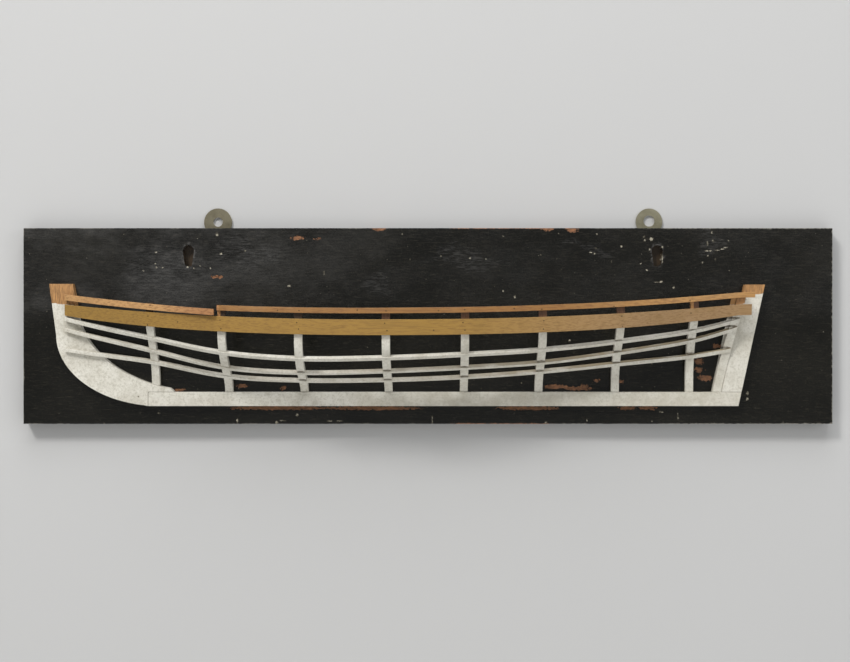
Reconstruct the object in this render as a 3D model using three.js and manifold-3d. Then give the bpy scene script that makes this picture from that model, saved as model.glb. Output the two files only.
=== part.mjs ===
// Half hull model of a ship's boat, built up in frame on a black backboard that hangs on a wall.
// Millimetres. X runs from the bow (-) to the stern (+), +Z is up and the hull stands out from the
// board towards -Y. The origin is the centre of the board's back face, which lies against the wall.
import * as THREE from "three";
import { mergeVertices } from "three/addons/utils/BufferGeometryUtils.js";
import Module from "manifold-3d";

const { clamp, lerp, degToRad } = THREE.MathUtils;
const wasm = await Module();
wasm.setup();

// Gap left between two pieces that touch
const clearance = 0.3;

// Backboard: as long as the hull from stem to heel, with a margin before and behind
const hullLength = 780;
const foreMargin = 40;
const aftMargin = 110;
const boardHeight = 225;
const boardThickness = 18;
const boardLength = foreMargin + hullLength + aftMargin;
const bowX = foreMargin - boardLength / 2;
const heelX = bowX + hullLength;

// Keel, stem and sternpost, all sawn from one thickness and fixed to the board's face
const timberThickness = 10;
const keelHeight = 16;
const keelAboveBoardFoot = 21;
const scarfFromBow = 105;
const kneeLength = 30;
const kneeHeight = 1.8;
const stemWidth = 23;
const forefootReach = 119;
const forefootRise = 81.5;
const stemInnerReach = 140;
const stemInnerRise = 102;
const stemHeadAboveRail = 12;
const stemHeadRake = 8;
const sternRake = degToRad(12.3);
const sternpostWidth = 23;
const sternpostAboveRail = 9;

// Hull form, measured out from the board's face and up from the top of the keel
const maxHalfBreadth = 98;
const widestFromBow = 405;
const transomHalfBreadth = 32;
const ribFootBreadth = 8.8;
const entranceCurve = 1.75;
const runCurve = 1.4;
const bilgeAboveWaleFoot = 4.5;
const fullestFromBow = 335;
const fullnessFore = 240;
const fullnessAft = 340;

// Exponents of the section's curve: at the sharp ends of the hull and where it is fullest
const hollow = { sharp: 3, full: 1.75 };
const turn = { sharp: 1.2, full: 3.3 };

// Sheer, the height of the wale's top edge
const sheerAboveKeel = 83.4;
const lowestFromBow = 365;
const sheerRiseFore = 16.6;
const sheerRiseAft = 17;
const sheerCurveFore = 2.1;
const sheerCurveAft = 2.3;

// Ribs
const ribWidth = 8.9;
const ribThickness = 7;
const ribHeadBelowRail = 1.2;
const ribsFromBow = [114, 197.7, 284, 380.1, 466, 551.5, 638.9, 723.8];
const transomThickness = 10;

// Strakes: a wale and two lengths of rail laid on the ribs, and three ribbands let into them
const waleHeight = 17;
const waleTaperFore = 4.5;
const waleTaperAft = 4.8;
const taperCurve = 4.5;
const waleThickness = 4;
const railTopFore = 11.7;
const railTopAft = 13.5;
const railHeightFore = 6.9;
const railHeightAft = 6;
const railThickness = 4;
const ribbandWidth = 4.6;
const ribbandThickness = 4.2;
const ribbandInset = 3;
const strakeLandOnStem = 12;
const strakeOverhangAft = 9;

// The fore rail is broken off at the second rib, where it has dropped and sprung outward
const railGap = 2.7;
const railLapOnRib = 9.1;
const railDrop = 4.6;
const railSpring = 6;

// Heights of the ribbands above the keel: at the stem, halfway to the first rib, at each of the
// eight ribs and at the stern
const ribbandHeights = {
  upper: [83.6, 72.6, 61.7, 45.9, 39.7, 41, 44.5, 49.2, 58, 69.6, 82.8],
  middle: [71.6, 59.6, 47.2, 28.6, 23.3, 25.4, 29.2, 34.3, 44.9, 58.6, 73.9],
  lower: [48.6, 41.7, 34.1, 18.1, 13.6, 14.4, 17.6, 23.5, 32, 40.6, 49.6],
};

// Hanging plates let into the back of the board, and two keyholes cut into its face
const plateThickness = 2.2;
const plateTongueWidth = 20;
const plateTongueLength = 46;
const hangers = [
  { side: "left", x: -243.8, rise: 7.6, radius: 16.2, hole: 5.4, holeRise: 8 },
  { side: "right", x: 256.4, rise: 8.3, radius: 15.4, hole: 6.5, holeRise: 9.3 },
];
const screwHeadRadius = 3.4;
const screwShankRadius = 1.6;
const screwLength = 12;
const screwDepths = [22, 38];
const screwSlotWidth = 0.8;
const screwSlotDepth = 0.7;
const screwSeat = 0.1;
const keyholeRadius = 6.5;
const keyholeFootWidth = 8.4;
const keyholeFootRadius = 2;
const keyholeHeight = 24.5;
const keyholeDepth = 10;
const keyholeBelowTop = 19.5;
const keyholes = [-275.5, 263.5];

// Smoothness of the curves
const strakeStations = 56;
const sectionPoints = 22;
const stemPoints = 20;
const roundSegments = 32;

const boardTop = boardHeight / 2;
const keelFoot = keelAboveBoardFoot - boardTop;
const keelTop = keelFoot + keelHeight;
const widestX = bowX + widestFromBow;
const lowestX = bowX + lowestFromBow;
const fullestX = bowX + fullestFromBow;
const stemInsideX = bowX + stemWidth;
const strakeBowX = stemInsideX - strakeLandOnStem;
const ribXs = ribsFromBow.map((distance) => bowX + distance);

const materials = {
  blackPaint: new THREE.MeshStandardMaterial({ color: 0x1d1c19, roughness: 0.4, metalness: 0 }),
  whitePaint: new THREE.MeshStandardMaterial({ color: 0xc9c5b6, roughness: 0.6, metalness: 0 }),
  ochre: new THREE.MeshStandardMaterial({ color: 0xaa8446, roughness: 0.5, metalness: 0 }),
  railWood: new THREE.MeshStandardMaterial({ color: 0xbd8048, roughness: 0.5, metalness: 0 }),
  dullBrass: new THREE.MeshStandardMaterial({ color: 0x7a7562, roughness: 0.45, metalness: 0.9 }),
  steel: new THREE.MeshStandardMaterial({ color: 0x6b6864, roughness: 0.5, metalness: 0.9 }),
};

const flat = (x, z) => new THREE.Vector2(x, z);

function toSolid(geometry) {
  const bare = geometry.clone();
  bare.deleteAttribute("normal");
  bare.deleteAttribute("uv");
  const merged = mergeVertices(bare, 1e-4);
  const make = (triVerts) =>
    new wasm.Manifold(
      new wasm.Mesh({ numProp: 3, vertProperties: merged.attributes.position.array, triVerts }),
    );
  const triVerts = new Uint32Array(merged.index.array);
  const solid = make(triVerts);
  return solid.volume() > 0 ? solid : make(triVerts.reverse());
}

function toMesh(name, solid, material) {
  const cut = solid.getMesh();
  const positions = new Float32Array(cut.numVert * 3);
  for (let i = 0; i < cut.numVert; i++)
    positions.set(cut.vertProperties.subarray(i * cut.numProp, i * cut.numProp + 3), i * 3);
  const indexed = new THREE.BufferGeometry();
  indexed.setAttribute("position", new THREE.BufferAttribute(positions, 3));
  indexed.setIndex(new THREE.BufferAttribute(cut.triVerts, 1));
  const geometry = indexed.toNonIndexed();
  geometry.computeVertexNormals();
  const mesh = new THREE.Mesh(geometry, material);
  mesh.name = name;
  return mesh;
}

// A flat piece: an outline in X and Z, sawn from stock that lies between two distances out
function sawn(shape, outFrom, outTo) {
  const geometry = new THREE.ExtrudeGeometry(shape, {
    depth: outTo - outFrom,
    bevelEnabled: false,
    curveSegments: stemPoints,
  });
  geometry.rotateX(Math.PI / 2);
  geometry.translate(0, -boardThickness - outFrom, 0);
  return toSolid(geometry);
}

// After edges of the sternpost and of the transom at a height
const sternX = (z) => heelX + Math.tan(sternRake) * (z - keelFoot);
const transomBackX = (z) => sternX(z) - sternpostWidth - clearance;
const transomTopX = transomBackX(keelTop + sheerAboveKeel);

// Share of the way from a middle station to the end of the hull that x lies towards
function towardsEnd(x, middle) {
  return clamp((x - middle) / ((x < middle ? strakeBowX : transomTopX) - middle), 0, 1);
}

// Height of the wale's top edge
function sheer(x) {
  const share = towardsEnd(x, lowestX);
  const rise = x < lowestX
    ? sheerRiseFore * share ** sheerCurveFore
    : sheerRiseAft * share ** sheerCurveAft;
  return keelTop + sheerAboveKeel + rise;
}

function waleFoot(x) {
  const taper = x < lowestX ? waleTaperFore : waleTaperAft;
  return sheer(x) - waleHeight + taper * towardsEnd(x, lowestX) ** taperCurve;
}

function railTop(x) {
  return sheer(x) + lerp(railTopFore, railTopAft, clamp((x - bowX) / hullLength, 0, 1));
}

// Distance out at which the strakes lie on the stem's face
const landing = timberThickness + clearance;

function halfBreadth(x) {
  const share = towardsEnd(x, widestX);
  return x < widestX
    ? lerp(maxHalfBreadth, landing, share ** entranceCurve)
    : lerp(maxHalfBreadth, transomHalfBreadth, share ** runCurve);
}

// How far the ribs' outside stands out from the board at x and at height z
function hullOut(x, z) {
  const sharp = x < fullestX
    ? ((fullestX - x) / fullnessFore) ** 2
    : ((x - fullestX) / fullnessAft) ** 1.5;
  const full = clamp(1 - sharp, 0, 1);
  const fromStem = clamp((x - strakeBowX) / (ribXs[0] - strakeBowX), 0, 1);
  const foot = lerp(landing, ribFootBreadth, fromStem);
  const bilge = waleFoot(x) - keelTop + bilgeAboveWaleFoot;
  const height = clamp((z - keelTop) / bilge, 0, 1);
  const curve = 1 - (1 - height) ** lerp(turn.sharp, turn.full, full);
  return lerp(foot, halfBreadth(x), curve ** lerp(hollow.sharp, hollow.full, full));
}

// The section's point at a height, with the way up along it and the way out from it
function surface(x, z) {
  const step = 0.5;
  const up = flat(hullOut(x, z + step) - hullOut(x, z - step), 2 * step).normalize();
  return { point: flat(hullOut(x, z), z), up, out: flat(up.y, -up.x) };
}

// A smooth curve through values given at stations
function throughStations(stations, values, x) {
  const last = stations.length - 1;
  let i = 0;
  while (i < last - 1 && x > stations[i + 1]) i++;
  const slope = (k) => {
    const a = Math.max(k - 1, 0);
    const b = Math.min(k + 1, last);
    return (values[b] - values[a]) / (stations[b] - stations[a]);
  };
  const span = stations[i + 1] - stations[i];
  const t = clamp((x - stations[i]) / span, 0, 1);
  const blend = t * t * (3 - 2 * t);
  const start = t * (1 - t) * (1 - t) * span * slope(i);
  const end = t * t * (t - 1) * span * slope(i + 1);
  return lerp(values[i], values[i + 1], blend) + start + end;
}

const halfwayToRib = (strakeBowX + ribXs[0]) / 2;
const ribbandStations = [strakeBowX, halfwayToRib, ...ribXs, transomTopX];

// A box bent to the hull. Along, up and deep run from 0 to 1 in it, deep from its inside to its
// outside, and cornerAt gives the place of each corner: x along, y out from the board, z up.
function bent(stationsAlong, stationsUp, cornerAt) {
  const geometry = new THREE.BoxGeometry(1, 1, 1, stationsAlong, stationsUp, 1);
  geometry.translate(0.5, 0.5, 0.5);
  const position = geometry.attributes.position;
  for (let i = 0; i < position.count; i++) {
    const corner = cornerAt(position.getX(i), position.getY(i), position.getZ(i));
    position.setXYZ(i, corner.x, -boardThickness - corner.y, corner.z);
  }
  return toSolid(geometry);
}

// A strake runs from one x to another, and sectionAt gives its corners across the hull
function strake(fromX, toX, sectionAt) {
  return bent(strakeStations, 1, (along, up, deep) => {
    const x = lerp(fromX, toX, along);
    const corner = sectionAt(x, up, deep);
    return new THREE.Vector3(x, corner.x, corner.y);
  });
}

// The last x of a strake that ends flush with the transom's after face at a height
function flushAft(heightAt) {
  let x = transomTopX;
  for (let step = 0; step < 8; step++) x = transomBackX(heightAt(x));
  return x;
}

// The wale is a flat plank, its two edges clear of the ribs' outside
function wale(grow = 0) {
  const toX = flushAft((x) => (sheer(x) + waleFoot(x)) / 2) + strakeOverhangAft;
  return strake(strakeBowX, toX, (x, up, deep) => {
    const z = lerp(waleFoot(x) - grow, sheer(x) + grow, up);
    const inside = hullOut(x, lerp(waleFoot(x), sheer(x), up)) + clearance - grow;
    return flat(inside + deep * (waleThickness + 2 * grow), z);
  });
}

function rail(fromX, toX, height, grow, drop, spring) {
  return strake(fromX, toX, (x, up, deep) => {
    const top = railTop(x) - drop(x) + grow;
    const inside = hullOut(x, railTop(x)) + clearance - grow + spring(x);
    const z = top - (1 - up) * (height + 2 * grow);
    return flat(inside + deep * (railThickness + 2 * grow), z);
  });
}

function railAft(grow = 0) {
  const fromX = ribXs[1] + ribWidth / 2 - railLapOnRib;
  const toX = flushAft((x) => railTop(x) - railHeightAft / 2) + strakeOverhangAft;
  return rail(fromX, toX, railHeightAft, grow, () => 0, () => 0);
}

// The fore rail has sprung loose at the break: it has dropped and stands off the ribs
function railFore(grow = 0) {
  const toX = ribXs[1] - ribWidth / 2 - railGap;
  const loose = (x) => (x - strakeBowX) / (toX - strakeBowX);
  const drop = (x) => railDrop * loose(x);
  const spring = (x) => railSpring * loose(x) ** 2;
  return rail(strakeBowX, toX, railHeightFore, grow, drop, spring);
}

function ribband(heights, grow = 0) {
  const heightAt = (x) => keelTop + throughStations(ribbandStations, heights, x);
  const toX = flushAft((x) => heightAt(x) - ribbandWidth / 2);
  return strake(strakeBowX, toX, (x, across, deep) => {
    const { point, up, out } = surface(x, heightAt(x));
    const letIn = clamp((x - stemInsideX) / (ribXs[0] - stemInsideX), 0, 1);
    const inside = lerp(0, -ribbandInset, letIn) - grow;
    point.addScaledVector(up, (across - 0.5) * (ribbandWidth + 2 * grow));
    return point.addScaledVector(out, inside + deep * (ribbandThickness + 2 * grow));
  });
}

// A rib stands on the keel, fits the hull all along its width and is one thickness deep, but it
// never reaches behind the board's face
function rib(middleX) {
  return bent(1, sectionPoints, (along, up, deep) => {
    const x = middleX + (along - 0.5) * ribWidth;
    const z = lerp(keelTop + clearance, railTop(x) - ribHeadBelowRail, up);
    const { point, out } = surface(x, z);
    if (deep < 1) point.addScaledVector(out, -ribThickness);
    return new THREE.Vector3(x, Math.max(point.x, clearance), point.y);
  });
}

// The transom is a solid half plate, raked like the sternpost that it stands against
function transom() {
  return bent(1, sectionPoints, (along, up, deep) => {
    const z = lerp(keelTop + clearance, railTop(transomTopX) - ribHeadBelowRail, up);
    const x = transomBackX(z) - (1 - along) * transomThickness;
    return new THREE.Vector3(x, deep < 1 ? clearance : hullOut(x, z), z);
  });
}

function keelShape() {
  return new THREE.Shape([
    flat(bowX + scarfFromBow + clearance, keelFoot),
    flat(sternX(keelFoot), keelFoot),
    flat(sternX(keelTop), keelTop),
    flat(bowX + scarfFromBow + clearance, keelTop),
  ]);
}

// Stem and knee in one: quarter ellipses outside and inside, and a lap on the keel's top. The
// inside edge can be moved by a clearance to cut what stands on it.
function stemShape(grow = 0) {
  const scarfX = bowX + scarfFromBow;
  const headZ = railTop(bowX) + stemHeadAboveRail;
  const outer = new THREE.EllipseCurve(
    bowX + forefootReach, keelFoot + forefootRise, forefootReach, forefootRise,
    -Math.PI / 2, -Math.PI, true);
  const inner = new THREE.EllipseCurve(
    stemInsideX + stemInnerReach, keelTop + kneeHeight + stemInnerRise,
    stemInnerReach, stemInnerRise - grow, Math.PI, 1.5 * Math.PI, false);
  const tipX = scarfX + kneeLength + grow;
  return new THREE.Shape([
    flat(scarfX, keelTop + clearance - grow),
    flat(scarfX, keelFoot),
    ...outer.getPoints(2 * stemPoints).filter((p) => p.x < scarfX),
    flat(bowX - stemHeadRake, headZ),
    flat(stemInsideX - stemHeadRake / 2, headZ),
    ...inner.getPoints(2 * stemPoints).filter((p) => p.x < tipX),
    flat(tipX, keelTop + clearance - grow),
  ]);
}

function sternpostShape() {
  const foot = keelTop + clearance;
  const head = railTop(transomTopX) + sternpostAboveRail;
  return new THREE.Shape([
    flat(sternX(foot) - sternpostWidth, foot),
    flat(sternX(foot), foot),
    flat(sternX(head), head),
    flat(sternX(head) - sternpostWidth, head),
  ]);
}

// A round head with a tongue hanging from it, as an outline in X and Z
function keyShape(x, headZ, radius, half, footZ) {
  const neck = Math.asin(half / radius);
  const shape = new THREE.Shape();
  shape.absarc(x, headZ, radius, neck - Math.PI / 2, 1.5 * Math.PI - neck, false);
  shape.absarc(x, footZ + half, half, Math.PI, 2 * Math.PI, false);
  return shape;
}

const eyeZ = (hanger) => boardTop + hanger.rise;

function sawnPlate(hanger, grow = 0) {
  const shape = keyShape(
    hanger.x, eyeZ(hanger), hanger.radius + grow, plateTongueWidth / 2 + grow,
    eyeZ(hanger) - plateTongueLength - grow);
  const back = -boardThickness;
  return sawn(shape, grow ? back - 1 : back, back + plateThickness + grow);
}

// A solid turned about an axis along Y, from points of depth from the board's back and radius
function turned(x, z, profile) {
  const points = profile.map(([depth, radius]) => flat(radius, depth));
  const geometry = new THREE.LatheGeometry(points, roundSegments);
  geometry.rotateX(Math.PI);
  geometry.translate(x, 0, z);
  return toSolid(geometry);
}

function turnedScrew({ x, z }, grow = 0) {
  const head = screwHeadRadius + grow;
  const shank = screwShankRadius + grow;
  const seat = grow ? -1 : screwSeat;
  const neck = screwSeat + screwHeadRadius - screwShankRadius + grow;
  return turned(x, z, [
    [seat, 0],
    [seat, head],
    [screwSeat + grow, head],
    [neck, shank],
    [screwLength + grow, shank],
    [screwLength + grow, 0],
  ]);
}

const screwPlaces = (hanger) =>
  screwDepths.map((below) => ({ x: hanger.x, z: eyeZ(hanger) - below }));

function plateScrew(spot) {
  const slot = new THREE.BoxGeometry(screwHeadRadius * 3, screwSlotDepth * 2, screwSlotWidth);
  slot.translate(spot.x, -screwSeat, spot.z);
  return turnedScrew(spot).subtract(toSolid(slot));
}

function hangingPlate(hanger) {
  const hole = turned(hanger.x, boardTop + hanger.holeRise, [
    [-1, 0],
    [-1, hanger.hole],
    [plateThickness + 1, hanger.hole],
    [plateThickness + 1, 0],
  ]);
  return screwPlaces(hanger).reduce(
    (plate, spot) => plate.subtract(turnedScrew(spot, clearance)),
    sawnPlate(hanger).subtract(hole),
  );
}

// A round head narrowing to a blunt foot
function keyholeShape(x) {
  const topZ = boardTop - keyholeBelowTop;
  const footZ = topZ - keyholeHeight + keyholeFootRadius;
  const headZ = topZ - keyholeRadius;
  const footX = keyholeFootWidth / 2 - keyholeFootRadius;
  const taper = Math.atan((keyholeRadius - keyholeFootWidth / 2) / (headZ - footZ));
  const shape = new THREE.Shape();
  shape.absarc(x, headZ, keyholeRadius, -taper, Math.PI + taper, false);
  shape.absarc(x - footX, footZ, keyholeFootRadius, Math.PI + taper, 1.5 * Math.PI, false);
  shape.absarc(x + footX, footZ, keyholeFootRadius, 1.5 * Math.PI, 2 * Math.PI - taper, false);
  return shape;
}

function backboard() {
  const plank = new THREE.BoxGeometry(boardLength, boardThickness, boardHeight);
  plank.translate(0, -boardThickness / 2, 0);
  const cutters = [
    ...keyholes.map((x) => sawn(keyholeShape(x), -keyholeDepth, 1)),
    ...hangers.map((hanger) => sawnPlate(hanger, clearance)),
    ...hangers.flatMap(screwPlaces).map((spot) => turnedScrew(spot, clearance)),
  ];
  return cutters.reduce((board, cutter) => board.subtract(cutter), toSolid(plank));
}

const model = new THREE.Group();
model.name = "ship_half_hull_model";
const add = (name, solid, material) => model.add(toMesh(name, solid, material));

add("backboard", backboard(), materials.blackPaint);
for (const hanger of hangers) {
  add(`hanging_plate_${hanger.side}`, hangingPlate(hanger), materials.dullBrass);
  screwPlaces(hanger).forEach((spot, i) => {
    add(`plate_screw_${hanger.side}_${i + 1}`, plateScrew(spot), materials.steel);
  });
}

add("keel", sawn(keelShape(), clearance, timberThickness), materials.whitePaint);
add("stem", sawn(stemShape(), clearance, timberThickness), materials.whitePaint);
add("sternpost", sawn(sternpostShape(), clearance, timberThickness), materials.whitePaint);

const ribbands = Object.entries(ribbandHeights);
for (const [level, heights] of ribbands)
  add(`ribband_${level}`, ribband(heights), materials.whitePaint);
add("wale", wale(), materials.ochre);
add("rail_fore", railFore(), materials.railWood);
add("rail_aft", railAft(), materials.railWood);

// Ribs and transom are notched for the ribbands and trimmed to what lies on and under them
const seats = [
  ...ribbands.map(([, heights]) => ribband(heights, clearance)),
  wale(clearance),
  railFore(clearance),
  railAft(clearance),
  sawn(stemShape(clearance), 0, timberThickness + clearance),
];
const trimmed = (solid) => seats.reduce((piece, seat) => piece.subtract(seat), solid);
ribXs.forEach((x, i) => add(`rib_${i + 1}`, trimmed(rib(x)), materials.whitePaint));
add("transom", trimmed(transom()), materials.whitePaint);

export default model;
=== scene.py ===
"""Looks of a half hull model of a ship's boat on its black backboard. Metres, +Z up."""
import math

import bmesh
import bpy
from mathutils import Matrix, Vector


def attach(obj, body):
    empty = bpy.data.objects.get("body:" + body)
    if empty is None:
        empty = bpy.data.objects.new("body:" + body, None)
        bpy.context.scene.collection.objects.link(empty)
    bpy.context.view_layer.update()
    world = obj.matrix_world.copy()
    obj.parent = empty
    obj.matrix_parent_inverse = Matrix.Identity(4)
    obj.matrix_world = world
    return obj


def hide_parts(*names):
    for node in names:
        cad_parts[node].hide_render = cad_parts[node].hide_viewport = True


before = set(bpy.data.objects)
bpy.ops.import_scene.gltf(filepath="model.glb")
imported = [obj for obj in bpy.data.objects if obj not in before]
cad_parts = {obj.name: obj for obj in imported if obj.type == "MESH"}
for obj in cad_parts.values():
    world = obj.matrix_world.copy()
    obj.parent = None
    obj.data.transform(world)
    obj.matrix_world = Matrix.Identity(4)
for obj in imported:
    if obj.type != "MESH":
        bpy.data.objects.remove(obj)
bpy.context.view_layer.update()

MM = 0.001

# The camera stands square to the board, a little right of and above its middle
BOARD_FACE_Y = -18 * MM
CAMERA_X = 13.8 * MM
CAMERA_Z = 12.65 * MM
CAMERA_DISTANCE = 1667 * MM
FOCAL_PIXELS = 1450
IMAGE_SIZE = (850, 662)
SENSOR_MM = 36

# Where the camera's axis and the board's middle lie in the picture, and the scale there
AXIS_PIXEL = (440, 315)
BOARD_MIDDLE_PIXEL = (428, 326)
MM_PER_PIXEL = 1.15

# Hull lines and ends that the paint follows
LOWEST_X = -60 * MM
SHEER_Z = 7.9 * MM
SHEER_FORE = (16.6 * MM, 354 * MM, 2.1)
SHEER_AFT = (17 * MM, 412 * MM, 2.3)
WALE_HEIGHT = 17 * MM
BREAK_X = -230 * MM
BOARD_HALF = (465 * MM, 112.5 * MM)
KEYHOLE_FLOOR_Y = -8 * MM

RIBS = range(1, 9)
WOODEN = ["backboard", "keel", "stem", "sternpost", "transom", "wale", "rail_fore", "rail_aft"]
WOODEN += [f"ribband_{level}" for level in ("upper", "middle", "lower")]
WOODEN += [f"rib_{number}" for number in RIBS]

# Softened edges of each kind of timber
EDGE_ROUNDING = {"backboard": 0.9 * MM, "keel": 0.5 * MM, "stem": 0.35 * MM}
OTHER_ROUNDING = 0.3 * MM
SHARP_ANGLE = math.radians(28)
PLANAR_ANGLE = math.radians(0.6)


# Shader expressions
class Value:
    """A socket that takes part in arithmetic."""

    def __init__(self, paint, socket):
        self.paint = paint
        self.socket = socket

    def math(self, operation, *others):
        return self.paint.node("Math", {"operation": operation}, self, *others)[0]

    def __add__(self, other):
        return self.math("ADD", other)

    def __sub__(self, other):
        return self.math("SUBTRACT", other)

    def __mul__(self, other):
        return self.math("MULTIPLY", other)

    def __truediv__(self, other):
        return self.math("DIVIDE", other)

    def __pow__(self, other):
        return self.math("POWER", other)

    def __neg__(self):
        return self.math("MULTIPLY", -1)

    def __rsub__(self, other):
        return (-self) + other

    def __abs__(self):
        return self.math("ABSOLUTE")

    def __or__(self, other):
        return self.math("MAXIMUM", other)

    __radd__ = __add__
    __rmul__ = __mul__

    def step(self, low, high):
        """0 below low, 1 above high and smooth between them."""
        settings = {"interpolation_type": "SMOOTHSTEP"}
        return self.paint.node("MapRange", settings, Value=self, **{"From Min": low,
                                                                    "From Max": high})[0]


class Paint:
    """A material and its nodes."""

    def __init__(self, name, **uniform):
        self.material = bpy.data.materials.new(name)
        self.material.use_nodes = True
        self.tree = self.material.node_tree
        self.shader = self.tree.nodes["Principled BSDF"]
        for key, value in uniform.items():
            self.shader.inputs[key.replace("_", " ")].default_value = value
        coordinates = self.node("TexCoord", {})
        self.place = coordinates["Object"]
        self.x, self.y, self.z = self.node("SeparateXYZ", {}, self.place)

    def node(self, kind, settings, *values, **named):
        """Adds a node; values fill its inputs in order, and named ones or a table by key."""
        made = self.tree.nodes.new("ShaderNode" + kind)
        for key, setting in settings.items():
            setattr(made, key, setting)
        for key, value in [*enumerate(values), *named.items()]:
            if isinstance(value, Value):
                self.tree.links.new(value.socket, made.inputs[key])
            elif value is not None:
                made.inputs[key].default_value = value
        return Outputs(self, made)

    def combine(self, x, y, z):
        return self.node("CombineXYZ", {}, x, y, z)[0]

    def stretch(self, sx, sy, sz, shift=0):
        """The place on the object with each axis scaled, for grain."""
        return self.combine(self.x * sx + shift, self.y * sy + shift, self.z * sz + shift)

    def noise(self, place, scale, detail=3, roughness=0.55, distortion=0):
        return self.node("TexNoise", {}, Vector=place, Scale=scale, Detail=detail,
                         Roughness=roughness, Distortion=distortion)[0]

    def mix(self, factor, first, second):
        """A blend of two colours, which are triples or sockets."""
        first, second = (colour if isinstance(colour, Value) else (*colour, 1)
                         for colour in (first, second))
        made = self.node("Mix", {"data_type": "RGBA"}, factor, None, None, None, None, None,
                         first, second)
        return made[2]

    def finish(self, colour, roughness=None, height=None, depth=0.0002, metallic=None):
        links = self.tree.links
        links.new(colour.socket, self.shader.inputs["Base Color"])
        if roughness is not None:
            links.new(roughness.socket, self.shader.inputs["Roughness"])
        if metallic is not None:
            links.new(metallic.socket, self.shader.inputs["Metallic"])
        if height is not None:
            bump = self.node("Bump", {}, Strength=1.0, Distance=depth, Height=height)
            links.new(bump[0].socket, self.shader.inputs["Normal"])
        return self.material


class Outputs:
    """A node's outputs, by number or by name."""

    def __init__(self, paint, made):
        self.paint = paint
        self.made = made

    def __getitem__(self, key):
        return Value(self.paint, self.made.outputs[key])

    def __iter__(self):
        return (Value(self.paint, socket) for socket in self.made.outputs)


def srgb(red, green, blue):
    """A linear colour from 0-255 display values."""
    def channel(value):
        value /= 255
        return value / 12.92 if value <= 0.04045 else ((value + 0.055) / 1.055) ** 2.4
    return tuple(channel(value) for value in (red, green, blue))


# Bare wood and its grain, with colours for a painted highlight and painted shade
BARE_RED = srgb(170, 118, 82)
# Pale bare wood, also the colour of the painted highlight on two rib heads
PALE_WOOD_AND_HIGHLIGHT = srgb(180, 134, 84)
RIB_BARE = srgb(108, 76, 54)
RIB_BARE_FORE = srgb(62, 48, 36)
WOOD_GRAIN = srgb(52, 38, 28)
# Painted shade in the ribband seats on the ribs and transom
SEAT_SHADE = srgb(74, 62, 42)

# How far the board's rubbed edge wanders, and how much of the paint there is kept
EDGE_RAGGED = 5.5 * MM
EDGE_KEPT = 2.1 * MM


def patches(paint, places, ragged=0.004, frequency=160, soft=0.2, flat=1):
    """A mask of worn spots: each has a centre x, z and half sizes, in millimetres."""
    drift = paint.noise(paint.place, frequency, 4) - 0.5
    lift = paint.noise(paint.stretch(1, 1, 1, 3), frequency, 4) - 0.5
    face = paint.combine(paint.x + drift * ragged, 0, paint.z + lift * ragged * flat)
    nearest = None
    for x, z, half_x, half_z in places:
        sized = (1 / (half_x * MM), 0, 1 / (half_z * MM))
        centre = (-x / half_x, 0, -z / half_z)
        away = paint.node("VectorMath", {"operation": "MULTIPLY_ADD"}, face, sized, centre)[0]
        away = paint.node("VectorMath", {"operation": "LENGTH"}, away)["Value"]
        nearest = away if nearest is None else nearest.math("MINIMUM", away)
    return nearest.step(1 + soft, 1 - soft)


def on_board(left, top, right, bottom):
    """A worn spot given by its edges as counted across the picture of the board's face."""
    across = (left + right) / 2 - BOARD_MIDDLE_PIXEL[0]
    above = BOARD_MIDDLE_PIXEL[1] - (top + bottom) / 2
    edges = (across, above, (right - left) / 2, (bottom - top) / 2)
    return tuple(edge * MM_PER_PIXEL for edge in edges)


WORN_UNDER_KEEL = [on_board(*edges) for edges in [
    (230, 405.5, 330, 410), (318, 406, 424, 410), (497, 406, 560, 410), (619, 406, 636, 410),
    (640, 406, 656, 410)]]
WORN_IN_HULL = [on_board(*edges) for edges in [
    (173, 388.5, 186, 391.5), (236, 384, 248, 388), (280, 386, 287, 390),
    (543, 384.5, 567, 389), (564, 386.5, 592, 390.5), (580, 384, 588, 388),
    (593.5, 379, 598.5, 382.5), (618, 380, 624, 383),
    (695, 358, 703, 365), (695, 367, 703, 373), (697, 375, 713, 381), (712, 344, 721, 348)]]
WORN_TOP = [on_board(*edges) for edges in [
    (372, 226, 386, 231), (540, 226, 553, 231), (566, 226, 578, 232.5), (292, 235.5, 305, 240),
    (314, 238, 320, 240), (210, 275.5, 223, 278.5)]]
SCUFFED = [on_board(*edges) for edges in [
    (128, 250, 202, 300), (365, 279, 387, 300), (430, 250, 500, 262), (560, 240, 610, 250),
    (700, 236, 728, 252), (210, 240, 290, 262)]]
KEYHOLE_RIMS = [(-275.5, 81.5, 7, 13), (263.5, 81.5, 7, 13)]
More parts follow.
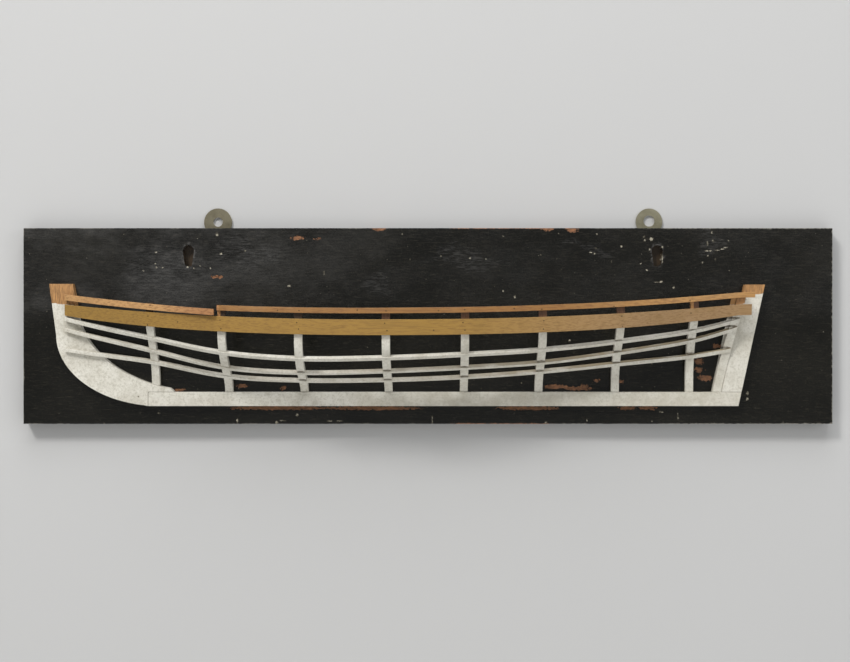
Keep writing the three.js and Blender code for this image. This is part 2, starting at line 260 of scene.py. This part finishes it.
BRIGHT_CHIPS = [on_board(*edges) for edges in [
    (155, 251.3, 157.2, 252.7), (155, 263, 156.5, 264.6), (155.6, 266.8, 157.6, 268.3),
    (162, 266.8, 163.6, 268), (143, 270, 144, 271.5), (186.6, 266, 189, 267.6),
    (193.4, 267.6, 195, 269), (199.6, 265.3, 201, 266.4), (209.6, 267.3, 211, 268.8),
    (219.6, 253, 222.4, 254.4), (215.6, 232, 218.4, 236), (244, 250, 246, 251.4),
    (288, 285, 290.4, 287), (323.4, 271, 324.6, 275), (401.4, 233.4, 402.8, 234.8),
    (409.4, 258.4, 410.8, 259.8), (440.4, 255.4, 441.8, 256.6), (469, 257.4, 470.6, 258.6),
    (485.4, 258.4, 486.6, 259.6), (502.4, 235.4, 503.6, 236.6), (540.4, 254.4, 541.8, 255.6),
    (502.4, 290.4, 504, 291.8), (514, 296, 516, 298), (596, 233.4, 597.6, 235),
    (595, 247.6, 596.8, 249), (589.6, 252, 592.4, 253), (593.4, 252.8, 595.4, 254.2),
    (620, 245.4, 622, 247.2), (643.2, 235.8, 645.6, 237.8), (643.6, 239.8, 645.6, 241.4),
    (649.6, 237.4, 652.8, 240.6), (648.6, 248.4, 650.6, 250), (661, 246.4, 663.4, 248),
    (640, 263, 641.6, 264.4), (646, 269.4, 647.4, 270.8), (653.8, 281.6, 658.6, 282.6),
    (660, 280.8, 662.4, 282.6), (672.4, 286.8, 674.4, 288.6), (610.8, 261, 612, 262.8),
    (711, 231.4, 712.2, 233.6), (706.6, 241.4, 708, 245.8), (712.4, 239.6, 714, 242.4),
    (705, 250.2, 712, 251.2), (714.4, 249.8, 720, 250.8), (720, 248.6, 724, 249.6),
    (723.4, 247, 727, 248.2), (714.4, 258.4, 716.2, 260.4), (701.6, 262.2, 703.2, 263.8),
    (707.2, 255.2, 708.6, 256.8), (727.4, 240, 729, 241.4), (431.8, 416, 432.6, 424),
    (586.4, 418.6, 587.4, 421.4), (746, 391.4, 748.4, 395), (746, 397.6, 748.4, 400),
    (296, 413.6, 298.4, 416.4), (236.8, 419, 238, 423), (280, 420.2, 286, 421), (275, 421.6, 278, 423.4),
    (327, 420.6, 332, 421.6), (337, 420.4, 343, 421.4), (659, 411.4, 663, 412.4),
    (677.4, 413, 678.4, 419), (544.4, 421.6, 547, 423.4), (568.6, 339.4, 570.6, 341.4),
    (142, 399, 144, 401), (158, 412.4, 160, 414), (661.6, 254, 662.6, 264)]]


def specks(paint, scale, share, radius, ragged=0.06):
    """A mask of small marks strewn over the face, one in some of the cells of a loose grid."""
    face = paint.combine(paint.x, paint.z, 0)
    cells = paint.node("TexVoronoi", {"voronoi_dimensions": "2D"}, Vector=face, Scale=scale)
    picks = paint.node("SeparateColor", {}, cells["Color"])
    chosen = picks[0].step(1 - share, 1.01 - share)
    size = (picks[1] * picks[1] * 0.7 + 0.3) * (radius * scale)
    rough = (paint.noise(paint.place, 900, 2) - 0.5) * ragged
    return (size - cells["Distance"] + rough).step(0, 0.02) * chosen


def haze_and_dust(paint, ground, streak, fine, wide):
    """Grey haze above the hull, scuffs, and dust along the grain; also gives where they lie."""
    above_hull = paint.z.step(-0.005, 0.03)
    left = paint.x.step(0, -0.3) * 0.7 + 0.3
    haze = above_hull * left * (wide.step(0.4, 0.62) * 0.7 + 0.3)
    brushed = streak.step(0.32, 0.72) * 0.55 + fine.step(0.36, 0.7) * 0.45
    colour = paint.mix(haze * brushed * 0.85, ground, srgb(76, 75, 74))
    scuff = patches(paint, SCUFFED, 0.07, 26, 0.45) * streak.step(0.44, 0.72)
    colour = paint.mix(scuff * 0.26, colour, srgb(98, 98, 100))
    dust = streak.step(0.5, 0.68) * 0.35 + fine.step(0.52, 0.7) * 0.35
    return paint.mix(dust, colour, srgb(58, 54, 45)), haze, scuff


def worn_edges(paint, colour, wide):
    """The board's front edge rubbed bare: reddish amidships, pale at the after end."""
    rough = paint.noise(paint.stretch(60, 60, 60), 5, 5, 0.8) * EDGE_RAGGED
    to_edge = (abs(paint.x) - BOARD_HALF[0]) | (abs(paint.z) - BOARD_HALF[1])
    to_edge = to_edge - (paint.y - BOARD_FACE_Y)
    rubbed = (to_edge + rough - EDGE_KEPT).step(0, 0.4 * MM)
    amidships = paint.x.step(0.02, 0.035) * paint.x.step(0.15, 0.135)
    tone = paint.mix(amidships, srgb(138, 134, 124), BARE_RED)
    here = amidships | paint.x.step(0.26, 0.275) * 0.9 | wide.step(0.5, 0.58) * 0.7
    return paint.mix(rubbed * here * 0.8, colour, tone)


def worn_spots(paint, colour, near_front):
    """Spots worn to the wood, with painted shade darkening them in and under the hull; also gives where
    they lie.
    """
    grit = paint.noise(paint.stretch(50, 50, 170), 5, 5, 0.8)
    worn = patches(paint, WORN_UNDER_KEEL + WORN_IN_HULL + WORN_TOP, 0.018, 400, 0.32, 0.32)
    worn = (worn + (grit - 0.5) * 2.6).step(0.4, 0.8) * worn.step(0, 0.15) * near_front
    dark_and_shaded_wood = tuple(0.25 * part for part in BARE_RED)
    wood = paint.mix(grit.step(0.4, 0.66), dark_and_shaded_wood, BARE_RED)
    # Painted shade: worn wood darker below the board's middle, in and under the hull
    wood = paint.mix(paint.z.step(0, -0.02) * 0.45, wood, dark_and_shaded_wood)
    return paint.mix(worn * 0.92, colour, wood), worn


def keyhole_wear(paint, colour, rims, near_front):
    """Pale broken rims around the keyholes, and raw wood inside them."""
    rim = patches(paint, KEYHOLE_RIMS, 0.009, 320, 0.35) * rims.step(0.35, 0.6) * near_front
    inside = patches(paint, KEYHOLE_RIMS, 0.001, 200, 0.1) * near_front
    inside = inside * paint.y.step(BOARD_FACE_Y + 0.4 * MM, BOARD_FACE_Y + 1.2 * MM)
    colour = paint.mix(rim * 0.5, colour, srgb(120, 118, 116))
    return paint.mix(inside, colour, srgb(66, 54, 40))


def black_paint():
    """Brushed black, hazed and scratched along the grain, chipped down to the wood in places."""
    paint = Paint("worn_black_paint", Specular_IOR_Level=0.36)
    grain = paint.noise(paint.stretch(5, 60, 60), 9, 5, 0.6)
    streak = paint.noise(paint.stretch(9, 55, 55), 9, 6, 0.8)
    fine = paint.noise(paint.stretch(60, 80, 90), 9, 4, 0.75)
    cloud = paint.noise(paint.place, 14, 5, 0.6)
    wide = paint.noise(paint.stretch(1, 1, 1.8), 9, 6, 0.7)
    rims = paint.noise(paint.place, 300, 3)
    near_front = paint.y.step(KEYHOLE_FLOOR_Y + 2 * MM, KEYHOLE_FLOOR_Y + 0.5 * MM)
    ground = paint.mix(cloud.step(0.35, 0.7), srgb(9, 9, 6), srgb(21, 20, 16))
    colour, haze, scuff = haze_and_dust(paint, ground, streak, fine, wide)
    colour = keyhole_wear(paint, colour, rims, near_front)
    colour = worn_edges(paint, colour, wide)
    colour, worn = worn_spots(paint, colour, near_front)
    strewn = specks(paint, 46, 0.22, 0.8 * MM) | specks(paint, 130, 0.14, 0.45 * MM) * 0.6
    chips = patches(paint, BRIGHT_CHIPS, 0.0036, 700, 0.4) * near_front
    speck = strewn * 0.7 | chips * (rims.step(0.34, 0.62) * 0.65 + 0.2)
    tone = paint.mix(rims.step(0.4, 0.6), srgb(138, 130, 110), srgb(188, 181, 162))
    colour = paint.mix(speck * 0.85, colour, tone)
    roughness = 0.16 + haze * 0.2 + scuff * 0.25 + worn * 0.5 + cloud * 0.08
    height = grain * 0.35 + fine * (haze * 0.5 + 0.1) - worn * 1.4 - speck * 0.4
    return paint.finish(colour, roughness, height, 0.3 * MM)


def sheer_at(paint):
    """Height of the wale's top edge at each x."""
    along = paint.x - LOWEST_X
    rise_fore, length_fore, curve_fore = SHEER_FORE
    rise_aft, length_aft, curve_aft = SHEER_AFT
    fore = ((-along) / length_fore | 0) ** curve_fore * rise_fore
    aft = (along / length_aft | 0) ** curve_aft * rise_aft
    return fore + aft + SHEER_Z


def white_paint(name, grain_scale, bare_above=None, bare=BARE_RED, dirt=0.35, top_shade=0,
                bare_fore=None, highlight_at=(), aft_darkening=0.2, seats=()):
    """Brushed off-white, over bare wood above a height that is given as an expression."""
    paint = Paint(name, Specular_IOR_Level=0.4)
    grain = paint.noise(paint.stretch(*grain_scale), 6, 5, 0.65)
    cloud = paint.noise(paint.place, 55, 4, 0.6)
    spots = paint.noise(paint.place, 320, 3, 0.6)
    brush = paint.noise(paint.stretch(*(2.5 * part for part in grain_scale)), 6, 3, 0.7)
    colour = paint.mix(cloud.step(0.35, 0.7), srgb(218, 215, 205), srgb(199, 195, 183))
    colour = paint.mix(grain.step(0.52, 0.74) * 0.4, colour, srgb(166, 160, 143))
    mottle = paint.noise(paint.place, 380, 4, 0.75)
    colour = paint.mix(brush.step(0.5, 0.7) * 0.3, colour, srgb(150, 144, 128))
    colour = paint.mix(mottle.step(0.47, 0.64) * 0.42, colour, srgb(152, 146, 128))
    colour = paint.mix(spots.step(0.66, 0.76) * dirt, colour, srgb(120, 104, 82))
    # Whites darker aft of the bow
    aft_of_bow = paint.x.step(-0.12, 0) * (0.6 + cloud.step(0.35, 0.65) * 0.4)
    colour = paint.mix(aft_of_bow * aft_darkening, colour, srgb(170, 164, 148))
    if top_shade:
        # Painted shade on upward faces, in blotches and stronger aft, where the parts above shadow them
        faces_up = paint.node("NewGeometry", {})["Normal"]
        faces_up = paint.node("SeparateXYZ", {}, faces_up)["Z"].step(0.25, 0.6)
        shade_blotches = paint.noise(paint.stretch(6, 12, 12), 5, 3, 0.5).step(0.25, 0.5)
        aft = paint.x.step(-0.16, -0.04) * 0.65 + 0.35
        colour = paint.mix(faces_up * shade_blotches * aft * top_shade, colour, srgb(138, 122, 92))
    if seats:
        # Painted shade just above the let-in ribbands, where the notches fall in shadow
        seat_shade = patches(paint, seats, 0.0014, 500, 0.3) * (spots.step(0.3, 0.6) * 0.4 + 0.6)
        colour = paint.mix(seat_shade * 0.9, colour, SEAT_SHADE)
    roughness = 0.5 + cloud * 0.15
    if bare_above is not None:
        edge = (paint.noise(paint.place, 260, 2) - 0.5) * 0.003
        above = (paint.z - bare_above(paint) + edge).step(-0.0004, 0.0004)
        streak = paint.noise(paint.stretch(400, 400, 40), 3, 4, 0.6)
        if bare_fore is not None:
            bare = paint.mix(paint.x.step(-0.11, -0.02), bare_fore, bare)
        wood = paint.mix(streak.step(0.35, 0.7) * 0.6, bare, WOOD_GRAIN)
        # Painted highlight: a pale strip on the lit side of a rib head
        for middle in highlight_at:
            near = abs(paint.x - middle).step(1.9 * MM, 1.5 * MM)
            wood = paint.mix(near, wood, PALE_WOOD_AND_HIGHLIGHT)
        colour = paint.mix(above, colour, wood)
    return paint.finish(colour, roughness, grain + spots * 0.3, 0.00022)


def varnished(name, fore, aft, dark, grain_scale, turn, middle=None, end_tint=None):
    """Varnished wood with grain along X, from one colour at the bow to another at the stern."""
    paint = Paint(name, Specular_IOR_Level=0.5, Coat_Weight=0.15, Coat_Roughness=0.25)
    grain = paint.noise(paint.stretch(*grain_scale), 5, 6, 0.62, 0.4)
    pores = paint.noise(paint.stretch(30, 600, 600), 6, 3, 0.6)
    cloud = paint.noise(paint.stretch(1, 2, 2), 22, 3)
    colour = paint.mix(paint.x.step(*turn), fore, aft)
    if middle is not None:
        amidships = paint.x.step(BREAK_X - MM, BREAK_X + MM) * paint.x.step(0.3, 0.12)
        colour = paint.mix(amidships * 0.9, colour, middle)
    if end_tint is not None:
        near_break = paint.x.step(-0.31, -0.24) * paint.x.step(BREAK_X + MM, BREAK_X - MM)
        colour = paint.mix(near_break * 0.7, colour, end_tint)
    colour = paint.mix(grain.step(0.42, 0.66) * 0.55, colour, dark)
    colour = paint.mix(pores.step(0.6, 0.78) * 0.45, colour, tuple(0.4 * part for part in dark))
    colour = paint.mix(cloud.step(0.48, 0.68) * 0.35, colour, tuple(0.7 * part for part in fore))
    fleck = specks(paint, 60, 0.3, 0.7 * MM) * 0.75
    colour = paint.mix(fleck, colour, srgb(78, 50, 24))
    roughness = 0.42 + grain * 0.2
    return paint.finish(colour, roughness, grain + pores * 0.6, 0.00018)


# Where painted shade lies above the let-in ribbands, in millimetres
SEAT_HALF_LENGTH = 5.5
SEAT_LIFT = 0.6
STERN_INSET = 6
FRONT_DEPTH = 1.5
CORNERS_AT_A_PLACE = 8


def corners_of(node):
    return [vertex.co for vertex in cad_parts[node].data.vertices]


def middle_of(node):
    along = [corner.x for corner in corners_of(node)]
    return (min(along) + max(along)) / 2


def seat(level, x, half_height):
    """A spot just above a let-in ribband at x, where shade is painted."""
    corners = sorted(corners_of(f"ribband_{level}"), key=lambda corner: abs(corner.x - x))
    near = corners[:CORNERS_AT_A_PLACE]
    front = min(corner.y for corner in near)
    top = max(corner.z for corner in near if corner.y < front + FRONT_DEPTH * MM)
    return x / MM, top / MM + half_height * SEAT_LIFT, SEAT_HALF_LENGTH, half_height


def stern_seat(level):
    end = max(corner.x for corner in corners_of(f"ribband_{level}"))
    return seat(level, end - STERN_INSET * MM, 1.3)


def metal(name, bright, dull, scale, rough):
    paint = Paint(name, Metallic=0.9)
    cloud = paint.noise(paint.place, scale, 5, 0.65)
    scratch = paint.noise(paint.stretch(200, 200, 900), 4, 3)
    colour = paint.mix(cloud.step(0.35, 0.68), bright, dull)
    return paint.finish(colour, rough + cloud * 0.25, cloud * 0.5 + scratch * 0.4, 0.0001)


# Where a painted highlight marks the lit side of rib heads 2 and 8
LIT_HEAD_HIGHLIGHTS = (-229.9 * MM, 295.9 * MM)
SEATS = [seat(level, middle_of(f"rib_{number}"), 1.7)
         for number in RIBS[2:] for level in ("middle", "lower")]
SEATS += [seat("upper", middle_of(f"rib_{number}"), 1.1) for number in RIBS[5:]]
STERN_SEATS = [stern_seat(level) for level in ("upper", "middle", "lower")]
ALONG = (8, 240, 240)
UPRIGHT = (260, 260, 22)
PAINTS = {
    "backboard": black_paint(),
    "keel": white_paint("keel_white", ALONG, aft_darkening=0.55),
    "stem": white_paint("stem_white", (60, 240, 60), sheer_at, PALE_WOOD_AND_HIGHLIGHT),
    "sternpost": white_paint("sternpost_white", UPRIGHT, lambda p: sheer_at(p) + 9 * MM,
                             PALE_WOOD_AND_HIGHLIGHT),
    "transom": white_paint("transom_white", UPRIGHT, sheer_at, PALE_WOOD_AND_HIGHLIGHT, seats=STERN_SEATS),
    "rib": white_paint("rib_white", UPRIGHT, lambda p: sheer_at(p) - WALE_HEIGHT / 2, RIB_BARE,
                       bare_fore=RIB_BARE_FORE, highlight_at=LIT_HEAD_HIGHLIGHTS, seats=SEATS),
    # The middle and lower ribbands get painted shade on their top faces
    "ribband": white_paint("ribband_white", ALONG, dirt=0.55, top_shade=0.9),
    "ribband_upper": white_paint("ribband_white_no_top_shade", ALONG, dirt=0.45),
    "wale": varnished("wale_ochre", srgb(152, 117, 50), srgb(156, 124, 84), srgb(108, 76, 30),
                      (5, 160, 160), (0, 0.26)),
    "rail": varnished("rail_orange", srgb(188, 145, 94), srgb(176, 132, 76), srgb(104, 66, 34),
                      (4, 110, 110), (-0.2, 0.2), middle=srgb(142, 99, 48),
                      end_tint=srgb(156, 104, 64)),
    # One brass in two copies: painted shade on the left plate, painted light on the right
    "hanging_plate_left": metal("dull_brass", srgb(138, 132, 112), srgb(112, 106, 88), 45, 0.38),
    "hanging_plate_right": metal("brass_lit_copy", srgb(162, 158, 136), srgb(136, 131, 110), 45, 0.38),
    "plate_screw": metal("dull_steel", srgb(140, 138, 134), srgb(84, 78, 72), 300, 0.35),
    "pin": metal("pin_iron", srgb(92, 76, 56), srgb(54, 42, 32), 600, 0.45),
}


def paint_for(node):
    kind = max((key for key in PAINTS if node.startswith(key)), key=len)
    return PAINTS[kind]


def softened(node):
    """A copy of a timber with its edges rounded, which stands for the plain one."""
    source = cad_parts[node]
    mesh = source.data.copy()
    piece = bpy.data.objects.new(f"{node}_soft", mesh)
    bpy.context.scene.collection.objects.link(piece)
    form = bmesh.new()
    form.from_mesh(mesh)
    bmesh.ops.remove_doubles(form, verts=form.verts, dist=1e-6)
    bmesh.ops.dissolve_limit(form, angle_limit=PLANAR_ANGLE, verts=form.verts, edges=form.edges)
    form.to_mesh(mesh)
    form.free()
    mesh.materials.clear()
    mesh.materials.append(paint_for(node))
    mesh.shade_smooth()
    bevel = piece.modifiers.new("edges", "BEVEL")
    bevel.width = EDGE_ROUNDING.get(node, OTHER_ROUNDING)
    bevel.segments = 2
    bevel.limit_method = "ANGLE"
    bevel.angle_limit = SHARP_ANGLE
    weight = piece.modifiers.new("normals", "WEIGHTED_NORMAL")
    weight.keep_sharp = True
    shaped = bpy.data.meshes.new_from_object(
        piece.evaluated_get(bpy.context.evaluated_depsgraph_get()))
    piece.modifiers.clear()
    piece.data = shaped
    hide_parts(node)
    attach(piece, "root")
    return piece


pieces = {node: softened(node) for node in WOODEN}
for node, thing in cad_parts.items():
    if node not in WOODEN:
        thing.data.materials.clear()
        thing.data.materials.append(paint_for(node))


# Pin heads in the wale and the rail, by their places across the picture
PIN_RADIUS = 0.7 * MM
PIN_RISE = 0.35 * MM
WALE_PINS = [
    (147.9, 316.1), (147.5, 325), (177.6, 322), (220.9, 328.7), (220, 320), (296.7, 322.7),
    (298.5, 329), (384.7, 323.2), (387, 330.5), (433.7, 330.2), (463, 322.5), (465, 330),
    (543.9, 320.7), (543.4, 329), (622, 316.1), (622.4, 326.5), (691, 313), (692, 322)]
RAIL_PINS = [
    (277.5, 310.3), (299, 310.4), (357.2, 310.1), (386, 311), (438.4, 310.5), (464.8, 309.7),
    (514.1, 308.4), (541.9, 309.2), (614, 306.2), (690, 300.5), (150, 305)]
STEM_PINS = [(138.2, 396.4)]
BREAK_PIXEL = 215


def pin(name, target, pixel):
    """A small round head on the face that a line from the camera through a pixel meets."""
    eye = Vector((CAMERA_X, BOARD_FACE_Y - CAMERA_DISTANCE, CAMERA_Z))
    across, above = pixel[0] - AXIS_PIXEL[0], AXIS_PIXEL[1] - pixel[1]
    ray = Vector((across / FOCAL_PIXELS, 1, above / FOCAL_PIXELS))
    hit, spot, normal, _ = target.ray_cast(eye, ray.normalized())
    if not hit:
        print("pin misses", name, pixel)
        return
    head = bmesh.new()
    bmesh.ops.create_uvsphere(head, u_segments=12, v_segments=6, radius=1)
    for vert in head.verts:
        vert.co.x *= PIN_RADIUS
        vert.co.y *= PIN_RADIUS
        vert.co.z *= PIN_RISE
    mesh = bpy.data.meshes.new(name)
    head.to_mesh(mesh)
    head.free()
    mesh.transform(normal.to_track_quat("Z", "Y").to_matrix().to_4x4())
    mesh.transform(Matrix.Translation(spot))
    mesh.materials.append(PAINTS["pin"])
    mesh.shade_smooth()
    piece = bpy.data.objects.new(name, mesh)
    bpy.context.scene.collection.objects.link(piece)
    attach(piece, "root")


bpy.context.view_layer.update()
for number, pixel in enumerate(WALE_PINS, 1):
    pin(f"wale_pin_{number}", pieces["wale"], pixel)
for number, pixel in enumerate(RAIL_PINS, 1):
    rail = "rail_fore" if pixel[0] < BREAK_PIXEL else "rail_aft"
    pin(f"rail_pin_{number}", pieces[rail], pixel)
for number, pixel in enumerate(STEM_PINS, 1):
    pin(f"stem_pin_{number}", pieces["stem"], pixel)


# Camera, stage and light
def place(thing, location, aim=None):
    thing.location = location
    if aim is not None:
        thing.rotation_euler = (Vector(aim) - Vector(location)).to_track_quat("-Z", "Y").to_euler()
    bpy.context.scene.collection.objects.link(thing)
    return thing


camera_data = bpy.data.cameras.new("camera")
camera_data.sensor_width = SENSOR_MM
camera_data.lens = SENSOR_MM * FOCAL_PIXELS / IMAGE_SIZE[0]
camera_data.shift_x = (IMAGE_SIZE[0] / 2 - AXIS_PIXEL[0]) / IMAGE_SIZE[0]
camera_data.shift_y = (AXIS_PIXEL[1] - IMAGE_SIZE[1] / 2) / IMAGE_SIZE[0]
camera_data.clip_end = 50
camera_at = (CAMERA_X, BOARD_FACE_Y - CAMERA_DISTANCE, CAMERA_Z)
camera = place(bpy.data.objects.new("camera", camera_data), camera_at,
               (CAMERA_X, 0, CAMERA_Z))
bpy.context.scene.camera = camera

FLOOR_Z = -0.75
WALL_COLOUR = srgb(190, 190, 190)
WALL_GAP = 0.6 * MM


def stage_plane(name, corners, material):
    mesh = bpy.data.meshes.new(name)
    mesh.from_pydata(corners, [], [(0, 1, 2, 3)])
    mesh.materials.append(material)
    thing = bpy.data.objects.new(name, mesh)
    bpy.context.scene.collection.objects.link(thing)
    return thing


def wall_paint():
    """Pale grey seen from the front; from behind it lets the back of the board be seen."""
    paint = Paint("wall_grey", Roughness=0.9)
    paint.shader.inputs["Base Color"].default_value = (*WALL_COLOUR, 1)
    behind = paint.node("NewGeometry", {})["Backfacing"]
    front = Value(paint, paint.shader.outputs[0])
    clear = paint.node("BsdfTransparent", {})[0]
    blend = paint.node("MixShader", {}, behind, front, clear)
    paint.tree.links.new(blend[0].socket, paint.tree.nodes["Material Output"].inputs[0])
    return paint.material


REACH = 6
wall = stage_plane("wall", [(-REACH, WALL_GAP, FLOOR_Z), (REACH, WALL_GAP, FLOOR_Z),
                            (REACH, WALL_GAP, REACH), (-REACH, WALL_GAP, REACH)], wall_paint())
wall.visible_shadow = False
wall.visible_diffuse = False
wall.visible_glossy = False
floor_paint = Paint("floor_pale", Roughness=0.9)
floor_paint.shader.inputs["Base Color"].default_value = (*srgb(214, 214, 212), 1)
stage_plane("floor", [(-REACH, -REACH, FLOOR_Z), (REACH, -REACH, FLOOR_Z),
                      (REACH, REACH, FLOOR_Z), (-REACH, REACH, FLOOR_Z)], floor_paint.material)


def area(name, location, aim, size, power, colour=(1, 1, 1)):
    light = bpy.data.lights.new(name, "AREA")
    light.size = size
    light.energy = power
    light.color = colour
    return place(bpy.data.objects.new(name, light), location, aim)


area("key", (-1.9, -2.9, 3.0), (0, 0, 0), 0.9, 120, (1, 0.985, 0.96))
area("overhead", (0.1, -1.6, 3.2), (0, 0, 0), 2.4, 80)
area("fill", (3.0, -2.4, 0.8), (0, 0, 0), 1.6, 22, (0.96, 0.98, 1))
area("behind", (0.6, 2.2, 1.4), (0, 0, 0), 1.8, 30)
world = bpy.data.worlds.new("room")
world.use_nodes = True
world.node_tree.nodes["Background"].inputs["Color"].default_value = (*srgb(228, 229, 230), 1)
world.node_tree.nodes["Background"].inputs["Strength"].default_value = 0.36
bpy.context.scene.world = world
bpy.context.scene.view_settings.view_transform = "Standard"
